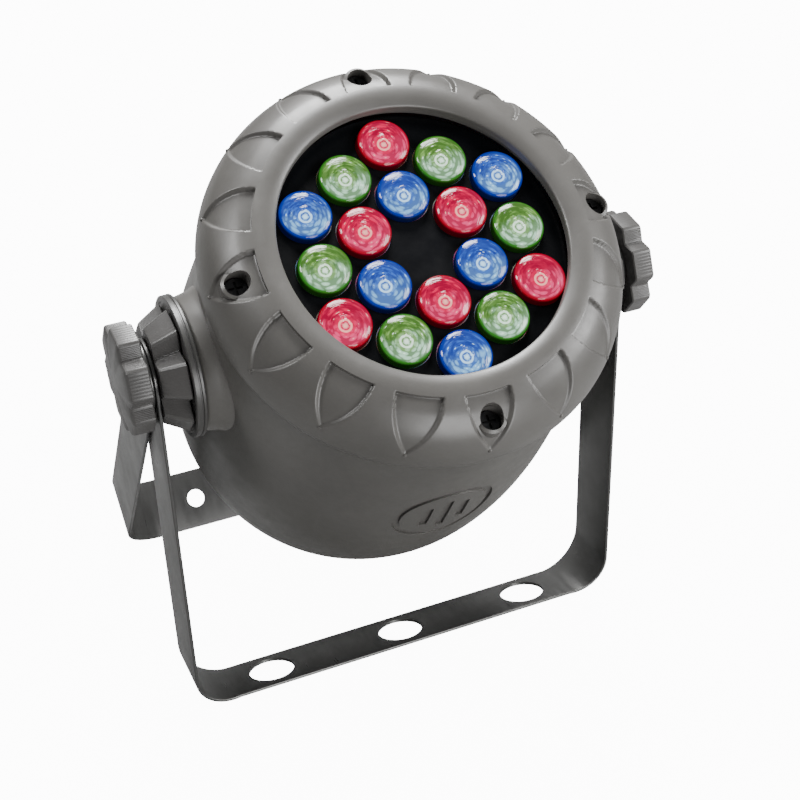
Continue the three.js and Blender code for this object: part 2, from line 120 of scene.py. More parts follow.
# Screw wells, the cones of the side bosses and the bolts' threads: detail that the solids leave out
WELL = {"bore": 2.4, "outside": 5.9, "inside": 4.75, "foot": 56.4, "floor": 58.2, "rim": 64.5, "lip": 65.2}
BOSS = {"bore": 4.4, "root": 70, "waist": 80, "root_radius": 33, "waist_radius": 28.5, "radius": 27}
BOLT = {"core": 3.4, "crest": 3.95, "shank": 4, "pitch": 1.25, "plain": 6}
BOLT_HOLE = 4.4

# Studio and camera, the camera's place in millimetres from the tilt axis
FLOOR_GLOW = 12.0
AMBIENT = 0.16
CAMERA_FROM_PIVOT = (-205.4, -449.0, 401.6)
CAMERA_RIGHT = (0.918, -0.3944, 0.0418)
CAMERA_DOWN = (-0.237, -0.6301, -0.7395)
CAMERA_LENS = 68.9


# ---------------------------------------------------------------- meshes

def smooth_line(points, count, closed=False):
    """Points spaced evenly along a Catmull-Rom curve through the given ones."""
    knots = np.array(points, float)
    if closed:
        before, after = knots[-1:], knots[:2]
    else:
        before, after = 2 * knots[:1] - knots[1:2], 2 * knots[-1:] - knots[-2:-1]
    padded = np.concatenate([before, knots, after])
    fine = []
    for a, b, c, d in zip(padded[:-3], padded[1:-2], padded[2:-1], padded[3:]):
        for t in np.linspace(0, 1, 24, endpoint=False):
            square = (2 * a - 5 * b + 4 * c - d) * t**2
            cube = (3 * b - a - 3 * c + d) * t**3
            fine.append(0.5 * (2 * b + (c - a) * t + square + cube))
    fine.append(knots[0] if closed else knots[-1])
    fine = np.array(fine)
    steps = np.linalg.norm(np.diff(fine, axis=0), axis=1)
    length = np.concatenate([[0], np.cumsum(steps)])
    wanted = np.linspace(0, length[-1], count)
    return np.stack([np.interp(wanted, length, fine[:, k]) for k in range(fine.shape[1])], axis=1)


def make_object(name, points, faces, matrix=None, angle=35):
    """A mesh object from points in millimetres, turned the right way out, smooth below the given angle."""
    mesh = bpy.data.meshes.new(name)
    bm = bmesh.new()
    made = [bm.verts.new(Vector(point) * MM) for point in points]
    for face in faces:
        bm.faces.new([made[i] for i in face])
    bmesh.ops.remove_doubles(bm, verts=bm.verts, dist=1e-6)
    bmesh.ops.recalc_face_normals(bm, faces=bm.faces)
    bm.to_mesh(mesh)
    bm.free()
    obj = bpy.data.objects.new(name, mesh)
    bpy.context.scene.collection.objects.link(obj)
    if matrix is not None:
        mesh.transform(matrix)
    shade(obj, angle)
    return obj


def shade(obj, angle=35):
    obj.data.polygons.foreach_set("use_smooth", [True] * len(obj.data.polygons))
    obj.data.set_sharp_from_angle(angle=math.radians(angle))
    obj.data.update()


def grid_faces(rows, columns, wrap_rows=True, wrap_columns=True):
    faces = []
    for i in range(rows if wrap_rows else rows - 1):
        for j in range(columns if wrap_columns else columns - 1):
            a, b = i * columns + j, i * columns + (j + 1) % columns
            c, d = ((i + 1) % rows) * columns + (j + 1) % columns, ((i + 1) % rows) * columns + j
            faces.append((a, b, c, d))
    return faces


def turned(profile, segments):
    """Points and faces of a (radius, z) profile turned about z. It is closed, or ends on the axis."""
    profile = np.array(profile, float)
    closed = np.allclose(profile[0], profile[-1])
    if closed:
        profile = profile[:-1]
    angles = np.linspace(0, 2 * math.pi, segments, endpoint=False)
    points = [(r * math.sin(a), r * math.cos(a), z) for a in angles for r, z in profile]
    return points, grid_faces(segments, len(profile), True, closed)


def lathe(name, profile, segments=64, matrix=None, angle=35):
    points, faces = turned(profile, segments)
    faces = [face for face in faces if not collapsed(points, face)]
    return make_object(name, points, faces, matrix, angle)


def collapsed(points, face):
    """True for a face between two points on the axis."""
    return all(math.hypot(points[i][0], points[i][1]) < 1e-9 for i in face)


def rounded(profile, radius, steps=3):
    """The profile with each inner corner turned into a small arc."""
    result = [profile[0]]
    for before, corner, after in zip(profile[:-2], profile[1:-1], profile[2:]):
        a, b, c = (Vector(p) for p in (before, corner, after))
        reach = min(radius, (a - b).length / 2.2, (c - b).length / 2.2)
        start, end = b + (a - b).normalized() * reach, b + (c - b).normalized() * reach
        for i in range(steps + 1):
            t = i / steps
            result.append(tuple(start * (1 - t) ** 2 + b * 2 * t * (1 - t) + end * t**2))
    result.append(profile[-1])
    return result


def along_x(x, y=0.0, z=0.0, side=1):
    """Turns a z axis to point outwards along x on one side, at the tilt axis."""
    turn = Matrix.Rotation(math.pi / 2 * side, 4, "Y")
    return Matrix.Translation(PIVOT + Vector((side * x, y, z)) * MM) @ turn


def carve(obj, cutters, angle=35):
    for cutter in cutters:
        modifier = obj.modifiers.new("carve", "BOOLEAN")
        modifier.operation = "DIFFERENCE"
        modifier.solver = "EXACT"
        modifier.object = cutter
    graph = bpy.context.evaluated_depsgraph_get()
    mesh = bpy.data.meshes.new_from_object(obj.evaluated_get(graph))
    obj.modifiers.clear()
    obj.data = mesh
    for cutter in cutters:
        bpy.data.objects.remove(cutter)
    shade(obj, angle)
    return obj


def rod(name, radius, z0, z1, matrix, segments=48):
    return lathe(name, [(0, z0), (radius, z0), (radius, z1), (0, z1)], segments, matrix)


def bevel(obj, width, segments=2, angle=40):
    modifier = obj.modifiers.new("edge", "BEVEL")
    modifier.width = width * MM
    modifier.segments = segments
    modifier.limit_method = "ANGLE"
    modifier.angle_limit = math.radians(angle)
    modifier.harden_normals = False


def put(obj, node, material):
    """The object stands for that CAD node: it joins the same body, takes the given material, and the node
    is hidden.
    """
    obj.data.materials.clear()
    obj.data.materials.append(material)
    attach(obj, BODY_OF[node])
    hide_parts(node)
    return obj


def put_extra(obj, node, material):
    """The object is added detail that moves with that CAD node and takes the given material."""
    obj.data.materials.append(material)
    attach(obj, BODY_OF[node])


def in_head(x, y, z=0.0):
    """A place in the head's frame, in millimetres."""
    return HEAD @ Matrix.Translation(Vector((x, y, z)) * MM)


def screw_place(index):
    """A place on the axis of one of the bezel screws."""
    turn = index * math.pi / 2
    return in_head(SCREW_CIRCLE * math.sin(turn), SCREW_CIRCLE * math.cos(turn))


# ---------------------------------------------------------------- materials

class Shader:
    """Nodes of one Principled material, added one at a time."""

    def __init__(self, name):
        self.material = bpy.data.materials.new(name)
        self.material.use_nodes = True
        self.tree = self.material.node_tree
        self.principled = self.tree.nodes["Principled BSDF"]
        coordinates = self.tree.nodes.new("ShaderNodeTexCoord")
        self.place = coordinates.outputs["Object"]

    def set(self, **values):
        for socket, value in values.items():
            self.principled.inputs[socket.replace("_", " ")].default_value = value

    def link(self, output, socket):
        self.tree.links.new(output, self.principled.inputs[socket])

    def node(self, kind, settings=None, **inputs):
        made = self.tree.nodes.new(kind)
        for key, value in (settings or {}).items():
            setattr(made, key, value)
        for key, value in inputs.items():
            socket = made.inputs[int(key[1:])] if key[0] == "i" and key[1:].isdigit() else made.inputs[key]
            if isinstance(value, bpy.types.NodeSocket):
                self.tree.links.new(value, socket)
            else:
                socket.default_value = value
        return made

    def stretched(self, scale):
        made = self.node("ShaderNodeMapping", Vector=self.place, Scale=scale)
        return made.outputs["Vector"]

    def noise(self, scale, detail=4.0, vector=None, roughness=0.55):
        made = self.node("ShaderNodeTexNoise", Vector=vector or self.place, Scale=scale, Detail=detail,
                         Roughness=roughness)
        return made.outputs["Fac"]

    def ramp(self, value, *stops):
        made = self.node("ShaderNodeValToRGB", Fac=value)
        elements = made.color_ramp.elements
        while len(elements) < len(stops):
            elements.new(0.5)
        for element, (position, colour) in zip(elements, stops):
            element.position = position
            element.color = (*colour, 1) if len(colour) == 3 else colour
        return made.outputs["Color"]

    def spread(self, value, low, high):
        made = self.node("ShaderNodeMapRange", Value=value)
        made.inputs["From Min"].default_value = 0.3
        made.inputs["From Max"].default_value = 0.7
        made.inputs["To Min"].default_value = low
        made.inputs["To Max"].default_value = high
        return made.outputs["Result"]

    def math(self, operation, first, second=0.0, clamp=False):
        settings = {"operation": operation, "use_clamp": clamp}
        made = self.node("ShaderNodeMath", settings, i0=first, i1=second)
        return made.outputs["Value"]

    def length(self, x, y):
        squares = self.math("ADD", self.math("MULTIPLY", x, x), self.math("MULTIPLY", y, y))
        return self.math("SQRT", squares)

    def mix(self, factor, first, second):
        made = self.tree.nodes.new("ShaderNodeMix")
        made.data_type = "RGBA"
        for socket, value in ((made.inputs[0], factor), (made.inputs[6], first), (made.inputs[7], second)):
            if isinstance(value, bpy.types.NodeSocket):
                self.tree.links.new(value, socket)
            else:
                socket.default_value = value if isinstance(value, float) else (*value, 1)
        return made.outputs[2]

    def bump(self, height, strength, distance):
        made = self.node("ShaderNodeBump", Height=height, Strength=strength, Distance=distance)
        self.link(made.outputs["Normal"], "Normal")


def scaled(colour, factor):
    return tuple(channel * factor for channel in colour)


def moulded_plastic(name, colour, rough=0.42, grain=2600.0, grain_depth=0.00004, specular=0.5):
    """Injection-moulded plastic with a fine spark-eroded grain, faint flow marks and rubbed patches."""
    shader = Shader(name)
    flow = shader.noise(22.0, 3.0)
    fine = shader.noise(900.0, 2.0)
    rubbed = shader.noise(75.0, 6.0, roughness=0.7)
    tone = shader.ramp(flow, (0.3, scaled(colour, 0.9)), (0.7, scaled(colour, 1.08)))
    speck = shader.mix(shader.math("MULTIPLY", fine, 0.18), tone, scaled(colour, 1.5))
    worn = shader.ramp(rubbed, (0.62, (0, 0, 0)), (0.8, (1, 1, 1)))
    shader.link(shader.mix(shader.math("MULTIPLY", worn, 0.14), speck, scaled(colour, 1.7)), "Base Color")
    shader.link(shader.spread(rubbed, rough - 0.06, rough + 0.08), "Roughness")
    shader.bump(shader.noise(grain, 2.0), 0.25, grain_depth)
    shader.set(Specular_IOR_Level=specular)
    return shader.material


def painted_strip(name, colour, rough=0.38):
    """Powder-coated or brushed dark metal strip with long fine scratches."""
    shader = Shader(name)
    streaks = shader.noise(300.0, 5.0, shader.stretched((1.0, 0.12, 0.12)), 0.65)
    cloud = shader.noise(30.0, 3.0)
    grain = shader.noise(1800.0, 2.0)
    tone = shader.ramp(cloud, (0.3, scaled(colour, 0.88)), (0.7, scaled(colour, 1.1)))
    marked = shader.mix(shader.math("MULTIPLY", streaks, 0.25), tone, scaled(colour, 1.8))
    shader.link(marked, "Base Color")
    shader.link(shader.spread(streaks, rough - 0.07, rough + 0.1), "Roughness")
    shader.bump(grain, 0.3, 0.00005)
    shader.set(Metallic=0.55)
    return shader.material


def bare_metal(name, colour, rough=0.3):
    shader = Shader(name)
    lines = shader.noise(700.0, 4.0, shader.stretched((0.15, 1.0, 1.0)))
    cloud = shader.noise(60.0, 3.0)
    shader.link(shader.ramp(cloud, (0.3, scaled(colour, 0.85)), (0.7, colour)), "Base Color")
    shader.link(shader.spread(lines, rough - 0.08, rough + 0.12), "Roughness")
    shader.bump(lines, 0.15, 0.00004)
    shader.set(Metallic=1.0)
    return shader.material


def circuit_board(name, colour):
    shader = Shader(name)
    settings = {"distance": "MANHATTAN"}
    tracks = shader.node("ShaderNodeTexVoronoi", settings, Vector=shader.place, Scale=260.0)
    ink = shader.ramp(tracks.outputs["Distance"], (0.3, scaled(colour, 0.8)), (0.55, scaled(colour, 1.35)))
    shader.link(ink, "Base Color")
    shader.link(shader.spread(shader.noise(120.0), 0.35, 0.5), "Roughness")
    return shader.material


def lit_lens(name, rim, deep, mid, pale, bright, seed):
    """A collimator lit from behind: dark side, saturated rim, glassy streaks, a pip, paler low down."""
    shader = Shader(name)
    parts = shader.node("ShaderNodeSeparateXYZ", Vector=shader.place).outputs
    size = 1 / (LENS_RADIUS * MM)
    x = shader.math("MULTIPLY", parts["X"], size)
    y = shader.math("MULTIPLY", parts["Y"], size)
    radius = shader.length(x, y)
    deep_x = shader.math("ADD", x, 0.1)
    deep_y = shader.math("ADD", y, 0.17)
    inner = shader.length(deep_x, deep_y)
    angle = shader.math("ARCTAN2", deep_y, deep_x)
    polar = shader.node("ShaderNodeCombineXYZ", X=shader.math("MULTIPLY", angle, 1.1),
                        Y=shader.math("MULTIPLY", inner, 5.5), Z=float(seed)).outputs["Vector"]
    flat = shader.node("ShaderNodeCombineXYZ", X=x, Y=y, Z=float(seed)).outputs["Vector"]
    wavy = shader.noise(1.7, 2.5, polar, 0.6)
    facets = shader.node("ShaderNodeTexVoronoi", {"feature": "F1"}, Vector=polar, Scale=1.5, Randomness=1.0)
    cloud = shader.noise(2.4, 3.0, flat, 0.6)
    low = shader.math("MULTIPLY", shader.math("SUBTRACT", 0.45, y), 0.62, True)
    colour = shader.mix(shader.ramp(wavy, (0.42, (0, 0, 0)), (0.58, (1, 1, 1))), deep, mid)
    level = shader.math("ADD", shader.math("MULTIPLY", low, 0.85), shader.math("MULTIPLY", cloud, 0.7))
    patch = shader.ramp(level, (0.46, (0, 0, 0)), (0.8, (1, 1, 1)))
    colour = shader.mix(shader.math("MULTIPLY", patch, 0.9), colour, pale)
    cells = shader.ramp(facets.outputs["Distance"], (0.38, (0, 0, 0)), (0.62, (1, 1, 1)))
    colour = shader.mix(shader.math("MULTIPLY", cells, 0.75), colour, deep)
    sparks = shader.ramp(facets.outputs["Distance"], (0.05, (1, 1, 1)), (0.19, (0, 0, 0)))
    colour = shader.mix(shader.math("MULTIPLY", sparks, 0.75), colour, bright)
    ring = shader.ramp(inner, (0.16, (0, 0, 0)), (0.2, (1, 1, 1)), (0.24, (1, 1, 1)), (0.27, (0, 0, 0)))
    moat = shader.ramp(inner, (0.1, (0, 0, 0)), (0.15, (1, 1, 1)), (0.36, (1, 1, 1)), (0.42, (0, 0, 0)))
    dot = shader.ramp(inner, (0.07, (1, 1, 1)), (0.13, (0, 0, 0)))
    colour = shader.mix(shader.math("MULTIPLY", moat, 0.5), colour, mid)
    colour = shader.mix(shader.math("MULTIPLY", shader.math("MAXIMUM", ring, dot), 0.6), colour, bright)
    colour = shader.mix(shader.ramp(radius, (0.84, (0, 0, 0)), (0.93, (1, 1, 1))), colour, rim)
    side = shader.ramp(radius, (0.955, (0, 0, 0)), (0.99, (1, 1, 1)))
    colour = shader.mix(side, colour, scaled(rim, 0.06))
    shader.link(colour, "Emission Color")
    shader.link(shader.ramp(cloud, (0.3, scaled(deep, 0.05)), (0.7, scaled(deep, 0.12))), "Base Color")
    shader.link(shader.spread(cloud, 0.04, 0.12), "Roughness")
    shader.bump(wavy, 0.3, 0.0006)
    shader.set(Emission_Strength=1.5, IOR=1.49, Specular_IOR_Level=0.35)
    return shader.material


HOUSING = moulded_plastic("housing", (0.078, 0.075, 0.07), 0.37)
KNOB_PLASTIC = moulded_plastic("knob_plastic", (0.062, 0.06, 0.058), 0.36, 1800.0, 0.00006)
DISC = moulded_plastic("disc_plastic", (0.05, 0.049, 0.047), 0.36)
BRACKET = painted_strip("bracket_paint", (0.075, 0.075, 0.073), 0.34)
BLACK_PANEL = moulded_plastic("panel_black", (0.002, 0.0022, 0.003), 0.35, 1500.0, 0.00004, 0.15)
REAR_METAL = painted_strip("rear_panel_paint", (0.05, 0.05, 0.05), 0.45)
SOCKET = moulded_plastic("socket_plastic", (0.018, 0.018, 0.019), 0.45)
BLACK_SCREW = bare_metal("black_screw", (0.06, 0.06, 0.062), 0.35)
STEEL = bare_metal("plain_steel", (0.6, 0.61, 0.62), 0.28)
ALUMINIUM = bare_metal("heat_sink", (0.55, 0.56, 0.57), 0.38)
BOARD = circuit_board("circuit_board", (0.03, 0.13, 0.06))
LED_BOARD = moulded_plastic("led_board", (0.75, 0.75, 0.72), 0.4)
DISPLAY = moulded_plastic("display", (0.03, 0.006, 0.006), 0.12)
RUBBER = moulded_plastic("button_rubber", (0.028, 0.028, 0.03), 0.65, 1500.0, 0.00008)

# Rim, deep, middle, pale and brightest glow of each lens colour
LENS_COLOURS = {
    "lens_red": (
        (0.3, 0.0, 0.012), (0.3, 0.0, 0.03), (0.8, 0.004, 0.08), (0.9, 0.08, 0.22), (1.5, 0.75, 0.6),
    ),
    "lens_green": (
        (0.02, 0.14, 0.01), (0.05, 0.13, 0.02), (0.2, 0.4, 0.1), (0.5, 0.82, 0.62), (1.3, 1.6, 1.4),
    ),
    "lens_blue": (
        (0.0, 0.015, 0.25), (0.015, 0.04, 0.26), (0.04, 0.13, 0.55), (0.24, 0.55, 0.88), (0.9, 1.4, 1.7),
    ),
}


# ---------------------------------------------------------------- head

def smoothstep(low, high, value):
    t = np.clip((value - low) / (high - low), 0, 1)
    return t * t * (3 - 2 * t)


def pocket_depth(turn, share):
    """Depth of the sixteen sunk treads at an angle in degrees and a share 0..1 from inner edge to tip."""
    pitch = 360 / POCKETS
    local = (turn + pitch / 2) % pitch - pitch / 2
    held = np.clip(share, 0, 1) ** POCKET_BULGE
    left = POCKET_HALF - (POCKET_HALF - POCKET_TIP) * held
    right = -POCKET_HALF + (POCKET_HALF + POCKET_TIP) * held
    inside = smoothstep(0, POCKET_EDGE, left - local) * smoothstep(0, POCKET_EDGE, local - right)
    inside *= smoothstep(0, 0.02, share) * smoothstep(1.0, 0.97, share)
    return POCKET_DEPTH * (1 - 0.6 * held) * inside


def profile_normals(line):
    step = np.gradient(line, axis=0)
    normal = np.stack([step[:, 1], -step[:, 0]], axis=1)
    return normal / np.linalg.norm(normal, axis=1, keepdims=True)


def share_between(line, start, end):
    """For each point on the line, its share of the way along it from nearest `start` to nearest `end`."""
    length = np.concatenate([[0], np.cumsum(np.linalg.norm(np.diff(line, axis=0), axis=1))])
    first = length[np.argmin(np.linalg.norm(line - np.array(start), axis=1))]
    last = length[np.argmin(np.linalg.norm(line - np.array(end), axis=1))]
    return (length - first) / (last - first)


def make_bezel():
    outside = smooth_line(BEZEL_OUTSIDE, 110)
    inside = smooth_line(BEZEL_INSIDE, 28)
    normal = profile_normals(outside)
    share = share_between(outside, POCKET_INNER, POCKET_OUTER)
    segments = 64 * POCKETS
    points = []
    for turn in np.linspace(0, 360, segments, endpoint=False):
        depth = pocket_depth(np.full(len(outside), turn), share)
        line = np.concatenate([outside - normal * depth[:, None] * facing(normal), inside])
        a = math.radians(turn)
        points.extend((r * math.sin(a), r * math.cos(a), z) for r, z in line)
    faces = grid_faces(segments, len(outside) + len(inside))
    bezel = make_object("bezel_look", points, faces, HEAD, 55)
    cutters = []
    for i in range(SCREWS):
        cutters.append(rod("cut", SCREW_RECESS, SCREW_SEAT, 80, screw_place(i)))
    carve(bezel, cutters, 55)
    put(bezel, "front_bezel", HOUSING)
    for i in range(SCREWS):
        make_screw_well(i)
    for i in range(POCKETS):
        make_pip(i)


def facing(normal):
    """+1 where the profile's normals point away from the ring's core, whichever way the line runs."""
    return 1.0 if normal[len(normal) // 2][1] > 0 else -1.0


def make_screw_well(index):
    """The tube below each recess, with a floor that the screw head sits on."""
    wall = [
        (WELL["bore"], WELL["foot"]), (WELL["outside"], WELL["foot"]), (WELL["outside"], WELL["rim"]),
        (WELL["inside"], WELL["lip"]), (WELL["inside"], WELL["floor"]), (WELL["bore"], WELL["floor"]),
        (WELL["bore"], WELL["foot"]),
    ]
    well = lathe(f"bezel_well_{index + 1}", wall, 40, screw_place(index))
    put_extra(well, "front_bezel", HOUSING)


def make_pip(index):
    """The small moulded dot at the tip of each tread."""
    a = math.radians(index * 360 / POCKETS + POCKET_TIP)
    r, z = POCKET_OUTER
    bead = [(0, -0.8), (0.55, -0.6), (0.8, 0), (0.55, 0.6), (0, 0.8)]
    pip = lathe(f"bezel_pip_{index + 1}", bead, 12, in_head(r * math.sin(a), r * math.cos(a), z))
    put_extra(pip, "front_bezel", HOUSING)


def make_shell():
    back = SHELL_OUTSIDE[-1][1]
    outside = smooth_line(SHELL_OUTSIDE, 110)
    inner = [(r - SHELL_WALL, z) for r, z in SHELL_OUTSIDE[:-1]]
    inner[-1] = (inner[-1][0], inner[-1][1] + 1.5)
    rim = np.array([(SHELL_OPENING, back), (SHELL_OPENING, back + SHELL_WALL)])
    line = np.concatenate([outside, rim, smooth_line(inner, 30)[::-1]])
    segments = 192
    points = []
    for turn in np.linspace(0, 2 * math.pi, segments, endpoint=False):
        points.extend((r * math.sin(turn), r * math.cos(turn), z) for r, z in line)
    shell = make_object("shell_look", points, grid_faces(segments, len(line)), HEAD, 30)
    carve(shell, emblem_cutters(), 30)
    put(shell, "rear_shell", HOUSING)
    make_shell_lip()
    for side in (-1, 1):
        make_side_boss(side)


def make_shell_lip():
    """The inner lip that the bezel's skirt slides over, so no light leaks out of the seam."""
    radius, seam = SHELL_OUTSIDE[0]
    outer, inner = radius - 0.4, radius - 2.2
    low, high = seam - 3, seam + 4
    profile = [(outer, low), (outer, high), (inner, high), (inner, low), (outer, low)]
    lip = lathe("shell_lip_look", rounded(profile, 0.3), 160, HEAD, 30)
    put_extra(lip, "rear_shell", HOUSING)


def on_shell(u, v, height):
    """A point u round and v along the shell from the emblem's middle, at a height above its surface."""
    z = EMBLEM["z"] + v
    knots = SHELL_OUTSIDE[::-1]
    radius = float(np.interp(z, [k[1] for k in knots], [k[0] for k in knots]))
    turn = math.radians(EMBLEM["turn"]) + u / radius
    return ((radius + height) * math.sin(turn), (radius + height) * math.cos(turn), z)


def emblem_cutters():
    """A plain sunk ring with three short bars in it, on the underside of the bowl."""
    low, high = -EMBLEM["depth"], 2.5
    outer = EMBLEM["radius"]
    inner = outer - EMBLEM["width"]
    points = []
    for angle in np.linspace(0, 2 * math.pi, 96, endpoint=False):
        for radius, height in ((inner, low), (outer, low), (outer, high), (inner, high)):
            points.append(on_shell(radius * math.cos(angle), radius * math.sin(angle), height))
    cutters = [make_object("cut", points, grid_faces(96, 4), HEAD)]
    for row, half in ((-8, 8), (0, 12), (8, 8)):
        cutters.append(emblem_bar(row, half, low, high))
    return cutters


def emblem_bar(row, half, low, high):
    points = []
    stations = np.linspace(-half, half, 14)
    for v in stations:
        for u, height in ((row - 1.8, low), (row + 1.8, low), (row + 1.8, high), (row - 1.8, high)):
            points.append(on_shell(u, v, height))
    last = 4 * (len(stations) - 1)
    faces = grid_faces(len(stations), 4, False, True) + [(0, 1, 2, 3), (last, last + 1, last + 2, last + 3)]
    return make_object("cut", points, faces, HEAD)


def make_side_boss(side):
    """The round boss that carries the pivot disc, blended into the shell by a cone."""
    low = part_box("right_pivot_disc")[0].x / MM - 0.3
    bore, root = BOSS["bore"], BOSS["root"]
    cone = [
        (bore, root), (BOSS["root_radius"], root), (BOSS["waist_radius"], BOSS["waist"]),
        (BOSS["radius"], low), (bore, low), (bore, root),
    ]
    boss = lathe(f"{side_name(side)}_boss_look", rounded(cone, 1.2), 72, along_x(0, side=side))
    put_extra(boss, "rear_shell", HOUSING)


def side_name(side):
    return "right" if side > 0 else "left"


def lens_nodes():
    return sorted(node for node in SLOT_OF if node.startswith(("lens_inner", "lens_outer")))


def head_place(node):
    """A node's middle in the head frame, in millimetres."""
    return HEAD.inverted() @ node_centre(node) / MM


def make_plate():
    z0, z1 = PLATE_Z
    edge = rounded([(0, z0), (PLATE_RADIUS, z0), (PLATE_RADIUS, z1), (0, z1)], 0.3)
    plate = lathe("lens_plate_look", edge, 96, HEAD)
    cutters = []
    for node in lens_nodes():
        middle = head_place(node)
        cutters.append(rod("cut", LENS_HOLE, z0 - 1, z1 + 1, in_head(middle.x, middle.y), 40))
    carve(plate, cutters)
    put(plate, "lens_plate", BLACK_PANEL)


def lens_profile():
    dome = [(LENS_RADIUS, LENS_RIM - 2.4), (LENS_RADIUS, LENS_RIM - 0.5)]
    for t in np.linspace(0, 1, 14):
        radius = LENS_RADIUS - 0.25 - 7.2 * t
        height = (LENS_TOP - LENS_RIM - 0.2) * math.sqrt(max(0, 1 - (radius / LENS_RADIUS) ** 2.6))
        dome.append((radius, LENS_RIM + height))
    pip = [(2.6, -0.1), (2.1, 0), (1.8, -0.5), (1.5, -0.55), (1.1, -0.15), (0.5, 0), (0, 0)]
    pip = [(r, LENS_TOP + z) for r, z in pip]
    return [(0, LENS_FOOT), (4.5, LENS_FOOT), (9, LENS_FOOT + 10), (LENS_RADIUS, LENS_RIM - 4), *dome, *pip]


def make_lenses():
    profile = lens_profile()
    for index, node in enumerate(lens_nodes()):
        middle = head_place(node)
        lens = lathe(f"{node}_look", profile, 56, None, 50)
        lens.matrix_world = in_head(middle.x, middle.y)
        put(lens, node, lit_lens(f"{node}_glow", *LENS_COLOURS[SLOT_OF[node]], index * 3.7))


def make_head():
    make_bezel()
    make_shell()
    make_plate()
    make_lenses()


# ---------------------------------------------------------------- pivot stacks

def lobed(tip, valley, phase, side):
    """Angles and radii round an outline of flat-sided lobes with narrow grooves and fine ribs."""
    pitch = math.pi / LOBES
    middle = math.radians(phase) - math.pi / 2
    outline = []
    for lobe in range(LOBES):
        centre = side * middle + lobe * 2 * pitch
        for (a, drop_a), (b, drop_b) in zip(LOBE_CORNERS[:-1], LOBE_CORNERS[1:]):
            start = (math.cos(a * pitch), math.sin(a * pitch))
            end = (math.cos(b * pitch), math.sin(b * pitch))
            ra, rb = tip - (tip - valley) * drop_a, tip - (tip - valley) * drop_b
            wide = b - a > 0.3
            steps = 24 if wide else 5
            for i in range(steps):
                t = i / steps
                x = start[0] * ra * (1 - t) + end[0] * rb * t
                y = start[1] * ra * (1 - t) + end[1] * rb * t
                rib = -0.1 * (i % 3 == 0) if wide else 0
                outline.append((centre + math.atan2(y, x), math.hypot(x, y) + rib))
    return outline


def lobed_solid(name, outline, layers, bore, matrix):
    """A lobed body: layers are (z, inset, scale) from inner face to outer face, with a bore or none."""
    points = []
    for angle, r in outline:
        ring = [(bore, layers[0][0])] + [(r * scale - inset, z) for z, inset, scale in layers]
        ring.append((bore, layers[-1][0]))
        points.extend((q * math.cos(angle), q * math.sin(angle), z) for q, z in ring)
    faces = grid_faces(len(outline), len(layers) + 2, True, bore > 0)
    if bore == 0:
        faces = [face for face in faces if not collapsed(points, face)]
    return make_object(name, points, faces, matrix, 26)


def span(part):
    """The inner and outer ends of a part of the right stack along the tilt axis, in millimetres."""
    low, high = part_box(f"right_{part}")
    return low.x / MM, high.x / MM


def make_knob(side):
    name = side_name(side)
    x0, x1 = span("clamp_knob")
    layers = [
        (x0, 0.5, 1), (x0 + 0.5, 0, 1), (x1 - 2.4, 0, 1), (x1 - 1.8, 0.25, 1), (x1 - 1.4, 0.8, 1),
        (x1 - 1.0, 2, 1), (x1 - 0.6, 5, 1), (x1 - 0.25, 9, 1), (x1, 14, 1),
    ]
    outline = lobed(KNOB["tip"], KNOB["valley"], KNOB["phase"], side)
    knob = lobed_solid(f"{name}_knob_look", outline, layers, 0, along_x(0, side=side))
    put(knob, f"{name}_clamp_knob", KNOB_PLASTIC)


def make_hub(side):
    name = side_name(side)
    x0, x1 = span("spacer_hub")
    layers = [(x0, 0.5, 1), (x0 + 0.5, 0, 1), (x1 - 0.8, 0, HUB["taper"]), (x1, 0.7, HUB["taper"])]
    outline = lobed(HUB["tip"], HUB["valley"], HUB["phase"], side)
    hub = lobed_solid(f"{name}_hub_look", outline, layers, 4.6, along_x(0, side=side))
    put(hub, f"{name}_spacer_hub", KNOB_PLASTIC)


def make_disc(side):
    """The thin flange, with a groove round its rim and a shallow face."""
    name = side_name(side)
    x0, x1 = span("pivot_disc")
    radius = (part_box("right_pivot_disc")[1].y - PIVOT.y) / MM
    rim = [
        (4.6, x0), (radius - 0.4, x0), (radius, x0 + 0.4), (radius, x0 + 1.2),
        (radius - 0.5, x0 + 1.5), (radius - 0.5, x0 + 1.8), (radius - 0.05, x0 + 2.1),
        (radius - 0.1, x1 - 0.3), (radius - 0.5, x1), (radius - 2.4, x1),
        (radius - 2.8, x1 - 0.4), (4.6, x1 - 0.4), (4.6, x0),
    ]
    disc = lathe(f"{name}_disc_look", rim, 128, along_x(0, side=side), 30)
    put(disc, f"{name}_pivot_disc", DISC)


def make_washer(side):
    name = side_name(side)
    x0, x1 = span("clamp_washer")
    ring = rounded([(4.4, x0), (9, x0), (9, x1), (4.4, x1), (4.4, x0)], 0.2)
    washer = lathe(f"{name}_washer_look", ring, 48, along_x(0, side=side))
    put(washer, f"{name}_clamp_washer", STEEL)


def make_bolt(side):
    """The clamp bolt, its thread drawn as separate rings."""
    name = side_name(side)
    x0, x1 = span("clamp_bolt")
    core, shank, plain = BOLT["core"], BOLT["shank"], x1 - BOLT["plain"]
    thread = [(0, x0), (3.2, x0)]
    for z in np.arange(x0 + 0.6, plain, BOLT["pitch"]):
        thread += [(core, z), (BOLT["crest"], z + 0.55), (core, z + 1.1)]
    thread += [(shank, plain), (shank, x1), (0, x1)]
    bolt = lathe(f"{name}_bolt_look", thread, 36, along_x(0, side=side), 20)
    put(bolt, f"{name}_clamp_bolt", STEEL)


def make_stack(side):
    make_knob(side)
    make_hub(side)
    make_disc(side)
    make_washer(side)
    make_bolt(side)


# ---------------------------------------------------------------- brackets

